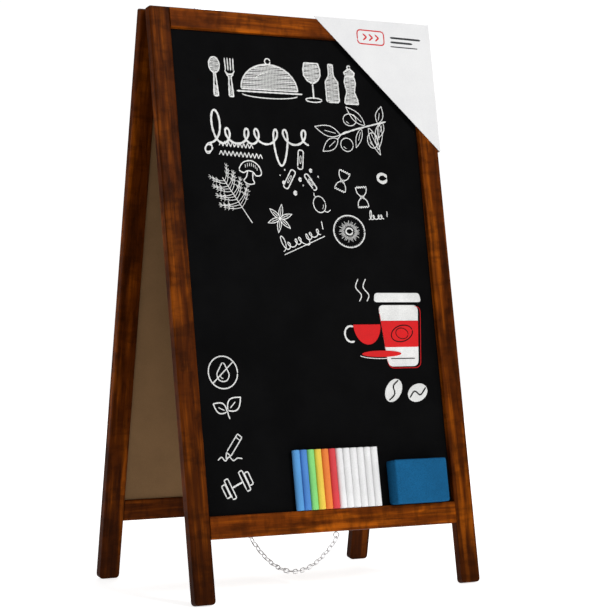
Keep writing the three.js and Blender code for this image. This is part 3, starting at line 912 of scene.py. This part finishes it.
class BOARD_OT_hardware(Operator):
    """Plate the hinges, their pins and screws and the chain's eyes"""

    bl_idname = "board.hardware"
    bl_label = "Plate the hardware"

    def execute(self, context):
        zinc = shared_material("Zinc plate", first=(0.46, 0.47, 0.49), second=(0.7, 0.71, 0.72),
                               roughness=0.32, metal=1.0, specular=0.5)
        finish_nodes(zinc, nodes_named("hinge") + nodes_named("chain_eye"))
        return {"FINISHED"}


class BOARD_OT_chain(Operator):
    """Hang the chain: a fine bent-wire ring in the place of each CAD link"""

    bl_idname = "board.chain"
    bl_label = "Hang the chain"

    @staticmethod
    def link(node):
        """Round wire carried along two half circles and two straight sides, in the frame of the
        node's own longest and next longest directions; it swells where its ends are welded."""
        co = np.empty(3 * len(node.data.vertices))
        node.data.vertices.foreach_get("co", co)
        co = 1000 * co.reshape(-1, 3)
        middle = (co.max(axis=0) + co.min(axis=0)) / 2
        axes = np.linalg.svd(co - co.mean(axis=0), full_matrices=False)[2]
        reach = (co - middle) @ axes.T
        long, wide = (np.ptp(reach[:, :2], axis=0) - LINK_WIRE) / 2
        turn = np.linspace(0, 2 * np.pi, 56, endpoint=False)
        straight = (long - wide) * np.tanh(6 * np.cos(turn))
        path = np.stack([straight + wide * np.cos(turn), wide * np.sin(turn)], axis=1)
        slope = np.roll(path, -1, axis=0) - np.roll(path, 1, axis=0)
        slope /= np.hypot(*slope.T)[:, None]
        side = np.stack([slope[:, 1], -slope[:, 0]], axis=1)
        weld = 1 + 0.16 * np.exp(-(((turn - np.pi / 2) / 0.12) ** 2))
        around = np.linspace(0, 2 * np.pi, 12, endpoint=False)
        out = LINK_WIRE / 2 * weld[:, None] * np.cos(around)
        up = LINK_WIRE / 2 * weld[:, None] * np.sin(around)
        flat = path[:, None, :] + side[:, None, :] * out[..., None]
        ring = middle + flat[..., :1] * axes[0] + flat[..., 1:] * axes[1] + up[..., None] * axes[2]
        return np.concatenate([ring, ring[:1]]) / 1000

    def execute(self, context):
        steel = shared_material("Bright chain steel", first=(0.6, 0.6, 0.61),
                                second=(0.86, 0.86, 0.87), roughness=0.26, metal=1.0,
                                specular=0.5)
        for body, numbers in CHAIN_RUNS.items():
            names = [f"chain_link_{number:02d}" for number in numbers]
            grids = [self.link(frame["nodes"][name]) for name in names]
            run = make_piece(f"{body}_links", grids, steel, body)
            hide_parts(*names)
        return {"FINISHED"}


class BOARD_OT_card(Operator):
    """Finish the card sleeve and print a plain mark on it"""

    bl_idname = "board.card"
    bl_label = "Finish the card sleeve"

    def execute(self, context):
        card = shared_material("White card", first=linear(216, 216, 217),
                               second=linear(224, 224, 224),
                               roughness=0.62, specular=0.25, strength=0.2)
        finish_nodes(card, nodes_named("corner_sleeve"))
        red = shared_material("Red print", first=linear(190, 22, 28), second=linear(206, 30, 34),
                              roughness=0.5, strength=0.1)
        grey = shared_material("Dark print", first=linear(30, 31, 33), second=linear(44, 45, 48),
                               roughness=0.5, strength=0.1)
        badge = rounded(block(44, 20), 6)
        chevrons = [([[x - 3, -5], [x + 3, 0], [x - 3, 5]], 2.4) for x in (-10, 0, 10)]
        mark = moved([(badge, 1.9)] + chevrons, 123, 22, -1)
        bars = [([[0, level], [length, level]], pen)
                for level, length, pen in ((5, 52, 3.0), (-1.5, 38, 3.0), (-8, 46, 1.6))]
        for name, strokes, ink in (("card_mark_red", mark, red),
                                   ("card_mark_dark", moved(bars, 155, 25, -1), grey)):
            draw(name, strokes, ink, face=CARD_FACE, wobble=0, body="corner_sleeve")
        return {"FINISHED"}


class BOARD_OT_sticks(Operator):
    """Stand the twelve sticks of chalk in a row on the bottom rail: six coloured and six white"""

    bl_idname = "board.sticks"
    bl_label = "Stand the chalk"

    @staticmethod
    def stick(x, radius, outward, foot, length):
        """A profile turned about the stick's own line: flat ends with a worn rounded edge, a body
        a little thinner at the top, and a hair of unevenness from the mould."""
        edge = np.linspace(0, np.pi / 2, 6)
        worn, top = 0.9, 0.97
        reach = np.concatenate([
            [0, 0.5], 1 - worn / radius * (1 - np.sin(edge)), np.linspace(1, top, 14)[1:-1],
            top - worn / radius * (1 - np.cos(edge)), [0.5, 0],
        ])
        rise = np.concatenate([
            [0, 0], worn * (1 - np.cos(edge)), np.linspace(worn, length - worn, 14)[1:-1],
            length - worn * (1 - np.sin(edge)), [length, length],
        ])
        around = np.linspace(0, 2 * np.pi, 32, endpoint=False)
        uneven = 1 - 0.006 * (1 + np.sin(3 * around + x)) * np.ones((len(reach), 1))
        radius = radius * reach[:, None] * uneven
        down = np.broadcast_to(foot - rise[:, None], radius.shape)
        return stand(x + radius * np.cos(around), outward + radius * np.sin(around), down)

    def execute(self, context):
        low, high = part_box("chalk_row")
        count = context.scene.stick_settings.count
        overhang, seam = 0.2 / 11, 0.05
        pitch = 1000 * (high.x - low.x) / (count + overhang)
        radius = pitch / 2 - seam
        first = 500 * (high.x + low.x) - pitch * (count - 1) / 2
        places = first + pitch * np.arange(count)
        grids = [self.stick(x, radius, STICK_MIDDLE, LEDGE, STICK_LENGTH) for x in places]
        colours = STICK_COLOURS + [WHITE_STICK] * (count - len(STICK_COLOURS))
        finishes = [
            shared_material(f"Chalk stick {label}", first=tuple(0.86 * part for part in colour),
                            second=colour, roughness=0.92, specular=0.15, depth_m=0.0002,
                            strength=0.4)
            for label, colour in colours
        ]
        row = make_piece("chalk_sticks", grids, finishes, "chalk_row")
        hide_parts("chalk_row")
        return {"FINISHED"}


class BOARD_OT_sponge(Operator):
    """Stand the blue sponge beside the chalk"""

    bl_idname = "board.sponge"
    bl_label = "Stand the sponge"

    @staticmethod
    def surface(wide, tall, thick, middle):
        """Rings of a rounded rectangle, of half-width wide and half-height tall, drawn in from the
        rim: rings shrink to a point on the back, turn over a quarter circle at each edge, and
        shrink to a point again on the front, which has faint dents."""
        edge_radius, flat_inset, far = 2.2, 26, 1e3
        corner = rounded(block(2 * wide, 2 * tall), 3.2, 6)
        ring = resample(corner, 1.6)[:-1]
        edge = np.linspace(0, np.pi / 2, 6)
        fall = np.linspace(flat_inset, edge_radius, 9)
        inset = np.concatenate([[far], fall[:-1], edge_radius * (1 - np.sin(edge)),
                                edge_radius * (1 - np.cos(edge)), fall[::-1][1:], [far]])
        depth = np.concatenate([np.zeros(9), edge_radius * (1 - np.cos(edge)),
                                thick - edge_radius * (1 - np.sin(edge)), np.full(9, thick)])
        x = ring[:, 0] * np.clip(1 - inset / wide, 0, 1)[:, None]
        y = ring[:, 1] * np.clip(1 - inset / tall, 0, 1)[:, None]
        dent = 0.25 * np.sin(x * 0.23 + 1) * np.sin(y * 0.31) * (depth[:, None] > thick / 2)
        clearance, shrink = 0.3, 0.995
        dent = dent * np.clip(inset[:, None] / 6, 0, 1)
        outward = np.maximum(SPONGE_BACK + depth[:, None] - clearance + dent, SPONGE_BACK)
        return stand(middle + x * shrink, outward, LEDGE - tall - y * shrink)

    def execute(self, context):
        low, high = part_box("board_sponge")
        wide, middle = 500 * (high.x - low.x), 500 * (high.x + low.x)
        grid = self.surface(wide, SPONGE_TALL / 2, SPONGE_THICK, middle)
        foam = foam_material(context.scene.stick_settings)
        sponge = make_piece("foam_sponge", [grid], foam, "board_sponge")
        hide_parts("board_sponge")
        return {"FINISHED"}


class BOARD_OT_heading(Operator):
    """Draw the heading: a row of hatched tableware, and a flourish with two lines under it"""

    bl_idname = "board.heading"
    bl_label = "Draw the heading"

    def execute(self, context):
        row = moved(spoon(), -126, 90) + moved(fork(), -103, 90) + moved(cloche(), -43, 90, 0, 1.05)
        row += moved(wine_glass(), 26, 90) + moved(bottle(), 57, 90) + moved(pepper_mill(), 87, 91)
        draw("drawing_heading", row, chalk_white())
        flourish = [(pen_loops(156, 7, 21, tall=(0.09,), drop=(0.7,)), 3.1)]
        knot = [(oval(12, 9, 25), 2.0), (oval(9, 15, -20), 2.0)]
        lines = moved(flourish, -66, 171, 1) + moved(knot, -144, 190)
        lines += moved([(zigzag(52, 9, 7), 1.5)], -102, 184, -3)
        lines += moved([(zigzag(66, 11, 7), 1.5)], -96, 197, -3)
        draw("drawing_flourish", lines, chalk_white())
        return {"FINISHED"}


class BOARD_OT_food(Operator):
    """Draw the loose sketches of food under the heading"""

    bl_idname = "board.food"
    bl_label = "Draw the food"

    def execute(self, context):
        draw("drawing_branch", moved(olive_branch(), 83, 163), chalk_white())
        herbs = moved(mushroom(), -84, 221, -12) + moved(sprig(), -106, 262, 33)
        herbs += moved(star_spice(), -44, 284) + moved(berry(), 20, 263, 14)
        draw("drawing_herbs", herbs, chalk_white())
        dots = chalk_dots([
            (-25, -12, 3.4), (19, 6, 3.6), (1, -7, 3.8), (-8, -26, 4.2),
            (-22, 6, 1.6), (30, -2, 1.6), (5, -15, 1.4), (-30, -2, 1.3),
        ])
        pasta = moved(pasta_tube(), -4, 201, -8) + moved(pasta_tube(29), -24, 229, -32)
        pasta += moved(pasta_tube(26, 6), 9, 232, 35) + moved(dots, -8, 222)
        pasta += moved(bow_pasta(), 60, 229, -22) + moved(bow_pasta(), 90, 251, 4)
        pasta += moved([(oval(15, 12), 4.6)], 126, 223)
        draw("drawing_pasta", pasta, chalk_white())
        phrase = [(pen_loops(66, 7, 9, tall=(0.08,), drop=(0.62,)), 1.5),
                  ([[-34, -9], [38, -9]], 1.3), ([[42, 12], [39, 0]], 1.6)]
        note = [(pen_loops(26, 4, 6, tall=(0.1,)), 1.5), ([[19, 8], [18, -1]], 1.5)]
        rest = moved(citrus(), 64, 300) + moved(phrase, -14, 313, 22) + moved(note, 110, 279, 4)
        draw("drawing_rest", rest, chalk_white())
        return {"FINISHED"}


class BOARD_OT_icons(Operator):
    """Draw the column of four plain icons"""

    bl_idname = "board.icons"
    bl_label = "Draw the icons"

    def execute(self, context):
        column = moved(barred_drop(), -150, 492, -4) + moved(sprout(), -148, 540)
        column += moved(pencil(), -148, 590) + moved(dumbbell(), -142, 640)
        draw("drawing_icons", column, chalk_white(), wobble=0.03)
        return {"FINISHED"}


class BOARD_OT_coffee(Operator):
    """Draw the coffee: a tall white cup with a lid, a small steaming red one and two beans"""

    bl_idname = "board.coffee"
    bl_label = "Draw the coffee"

    def execute(self, context):
        settings = context.scene.chalk_settings
        height = 1000 * settings.thickness
        red = shared_material("Red paint marker", second=tuple(settings.accent),
                              first=tuple(0.8 * part for part in settings.accent),
                              roughness=0.6, specular=0.2)
        ink = shared_material("Black paint marker", first=linear(8, 8, 8),
                              second=linear(16, 16, 16), roughness=0.7, specular=0.1)
        cup = rounded([[99, 403], [165, 403], [157, 489], [107, 489]], 9)
        lid = rounded([[95, 386], [169, 386], [171, 399], [93, 399]], 5)
        beans = [oval(24, 36, 38) + [112, 522], oval(34, 24, -22) + [151, 526]]
        white = [filled(shape, height, PANEL_FACE) for shape in [cup, lid] + beans]
        make_piece("drawing_cup_white", white, chalk_white(), "front_frame")
        band = rounded([[101, 425], [163, 425], [159.5, 462], [104.5, 462]], 2)
        bowl = np.concatenate([oval(44, 56, first=0, last=180) + [78, 430], [[100, 430]]])
        saucer = oval(64, 9) + [98, 471]
        patches = [filled(band, height, PANEL_FACE, 0.3), filled(bowl, height, PANEL_FACE, 0.6),
                   filled(saucer, height, PANEL_FACE, 0.6)]
        make_piece("drawing_cup_red", patches, red, "front_frame")
        outline = moved([(oval(36, 22, 15), 1.6), (oval(20, 15, -10), 1.2)], 134, 443)
        edges = [(curve([[121, 508], [112, 516], [113, 527], [103, 536]]), 2.0),
                 (curve([[137, 533], [146, 524], [155, 529], [165, 519]]), 2.0),
                 ([[112, 478], [152, 478]], 1.2)]
        draw("drawing_cup_ink", outline + edges, ink, lift=0.6, wobble=0.05)
        steam = [(curve([[x, 398], [x + 4, 389], [x - 4, 378], [x + 1, 366]]), 1.6)
                 for x in (70, 82)]
        handle = [(oval(20, 22, first=60, last=300) + [52, 443], 3.0)]
        under = [(oval(74, 13, first=20, last=160) + [98, 471], 1.2)]
        draw("drawing_steam", steam + handle + under, chalk_white())
        middle, widened, aside, below = 132, 0.045, 2.2, 2.0
        glow = cup * [1 + widened, 1.0] + [aside - middle * widened, below]
        draw("drawing_cup_glow", [(glow, 1.0)], red, wobble=0.05)
        return {"FINISHED"}


class BOARD_OT_stage(Operator):
    """Set the floor, the soft studio lights and the camera"""

    bl_idname = "board.stage"
    bl_label = "Set the stage"

    @staticmethod
    def lamp(name, place, width_m, power):
        light = bpy.data.lights.new(name, "AREA")
        light.shape = "DISK"
        light.size = width_m
        light.energy = power
        holder = bpy.data.objects.new(name, light)
        holder.location = place
        line = Vector(LAMP_AIM) - Vector(place)
        holder.rotation_euler = line.to_track_quat("-Z", "Y").to_euler()
        bpy.context.scene.collection.objects.link(holder)

    @staticmethod
    def floor():
        """A wide level square that glows a little, so that it stays pale under soft light."""
        mesh = bpy.data.meshes.new("floor")
        corners = [(x, y, 0) for x, y in block(2 * FLOOR_REACH, 2 * FLOOR_REACH)]
        mesh.from_pydata(corners, [], [(0, 1, 2, 3)])
        floor = bpy.data.objects.new("floor", mesh)
        bpy.context.scene.collection.objects.link(floor)
        material, nodes, links, shader = new_material("Pale floor")
        pale = noise(material.node_tree, object_place(nodes), 1.5, 3)
        links.new(remap(material.node_tree, pale, 0, 1, 0.86, 0.9), shader.inputs["Roughness"])
        shader.inputs["Base Color"].default_value = (0.9, 0.9, 0.9, 1)
        shader.inputs["Specular IOR Level"].default_value = 0.0
        shader.inputs["Emission Color"].default_value = (1, 1, 1, 1)
        shader.inputs["Emission Strength"].default_value = FLOOR_GLOW
        mesh.materials.append(material)

    @staticmethod
    def sky():
        """A white surround, seen brighter than it lights."""
        world = bpy.data.worlds.new("Studio")
        world.use_nodes = True
        tree = world.node_tree
        back = tree.nodes["Background"]
        path = tree.nodes.new("ShaderNodeLightPath")
        strength = remap(tree, path.outputs["Is Camera Ray"], 0, 1, SKY_STRENGTH, SKY_SEEN_STRENGTH)
        tree.links.new(strength, back.inputs["Strength"])
        back.inputs["Color"].default_value = (1, 1, 1, 1)
        return world

    def execute(self, context):
        scene = context.scene
        settings = scene.stage_settings
        self.floor()
        scene.world = self.sky()
        for lamp in LAMPS:
            self.lamp(*lamp)
        camera = bpy.data.cameras.new("camera")
        camera.sensor_width = SENSOR_WIDTH
        camera.lens = settings.lens
        holder = bpy.data.objects.new("camera", camera)
        holder.location = CAMERA_PLACE
        holder.rotation_euler = (math.pi / 2 + settings.tilt, 0, -settings.turn)
        scene.collection.objects.link(holder)
        scene.camera = holder
        scene.view_settings.view_transform = "Standard"
        return {"FINISHED"}


OPERATORS = (BOARD_OT_wood, BOARD_OT_panels, BOARD_OT_hardware, BOARD_OT_chain, BOARD_OT_card,
             BOARD_OT_sticks, BOARD_OT_sponge, BOARD_OT_heading, BOARD_OT_food, BOARD_OT_icons,
             BOARD_OT_coffee, BOARD_OT_stage)


class BOARD_PT_sidebar(Panel):
    """The settings and the steps that build the looks"""

    bl_idname = "BOARD_PT_sidebar"
    bl_label = "Sandwich board"
    bl_space_type = "VIEW_3D"
    bl_region_type = "UI"
    bl_category = "Sandwich board"

    def draw(self, context):
        for settings in SETTINGS:
            box = self.layout.box()
            for label in settings[1].__annotations__:
                box.prop(getattr(context.scene, settings[0]), label)
        for operator in OPERATORS:
            self.layout.operator(operator.bl_idname)


SETTINGS = (("wood_settings", WoodSettings), ("panel_settings", PanelSettings),
            ("chalk_settings", ChalkSettings), ("stick_settings", StickSettings),
            ("stage_settings", StageSettings))


def register():
    for name, settings in SETTINGS:
        bpy.utils.register_class(settings)
        setattr(bpy.types.Scene, name, PointerProperty(type=settings))
    for operator in OPERATORS:
        bpy.utils.register_class(operator)
    bpy.utils.register_class(BOARD_PT_sidebar)


def unregister():
    bpy.utils.unregister_class(BOARD_PT_sidebar)
    for operator in reversed(OPERATORS):
        bpy.utils.unregister_class(operator)
    for name, settings in reversed(SETTINGS):
        delattr(bpy.types.Scene, name)
        bpy.utils.unregister_class(settings)


def main():
    register()
    for operator in OPERATORS:
        group, name = operator.bl_idname.split(".")
        getattr(getattr(bpy.ops, group), name)()


if __name__ == "__main__":
    main()
